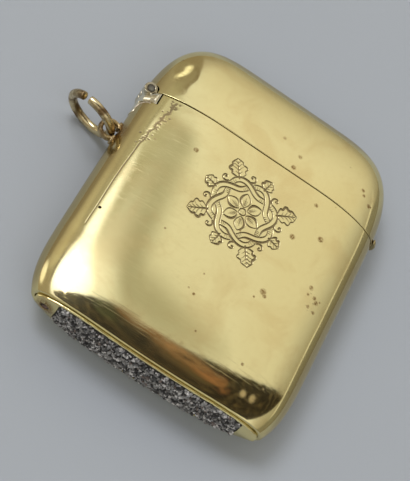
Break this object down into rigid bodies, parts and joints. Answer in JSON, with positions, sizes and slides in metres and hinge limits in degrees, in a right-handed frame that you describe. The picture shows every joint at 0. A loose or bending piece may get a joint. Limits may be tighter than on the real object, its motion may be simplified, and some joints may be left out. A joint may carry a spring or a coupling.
{
  "type": "match case",
  "caption": "Flat cushion-shaped pocket match case with a sprung side-hinged lid, a striker recessed in the base and an eye with an open jump ring.",
  "frame": {"origin": "middle of the small flat on the back that the case rests on", "axes": "+Z out of the front of the case, +Y from the striker end to the lid, +X from the hinge side to the thumb side"},
  "size_m": [0.0565, 0.0592, 0.011],
  "materials": {
    "polished_brass": "worn polish with fine scratches and small tarnish specks",
    "inner_brass": "drawn, dull",
    "aged_brass": "tarnished, rubbed on the high spots",
    "steel": "dark, slightly rusted ends",
    "spring_steel": "blued flat spring",
    "striker_grit": "coarse dark abrasive grit"
  },
  "bodies": {
    "case": {"body_front": "polished_brass", "body_back": "polished_brass", "mouth_liner": "inner_brass", "hinge_leaf": "polished_brass", "hinge_pin": "steel", "lid_spring": "spring_steel", "spring_pin": "steel", "base_plate": "polished_brass", "striker_strip": "striker_grit", "base_rivet": "steel", "ring_eye": "aged_brass"},
    "lid": {"lid_front": "polished_brass", "lid_back": "polished_brass", "lid_leaf": "polished_brass", "thumb_lip": "polished_brass"},
    "ring": {"jump_ring": "aged_brass"}
  },
  "joints": [
    {"name": "lid_hinge", "type": "hinge", "parent": "case", "child": "lid", "pos_m": [-0.02225, 0.01335, 0.0055], "axis": [0, 0, 1], "range_deg": [0, 95]},
    {"name": "ring_swing", "type": "hinge", "parent": "case", "child": "ring", "pos_m": [-0.0242, 0.00375, 0.0055], "axis": [0, 0, 1], "range_deg": [-22, 90]}
  ]
}
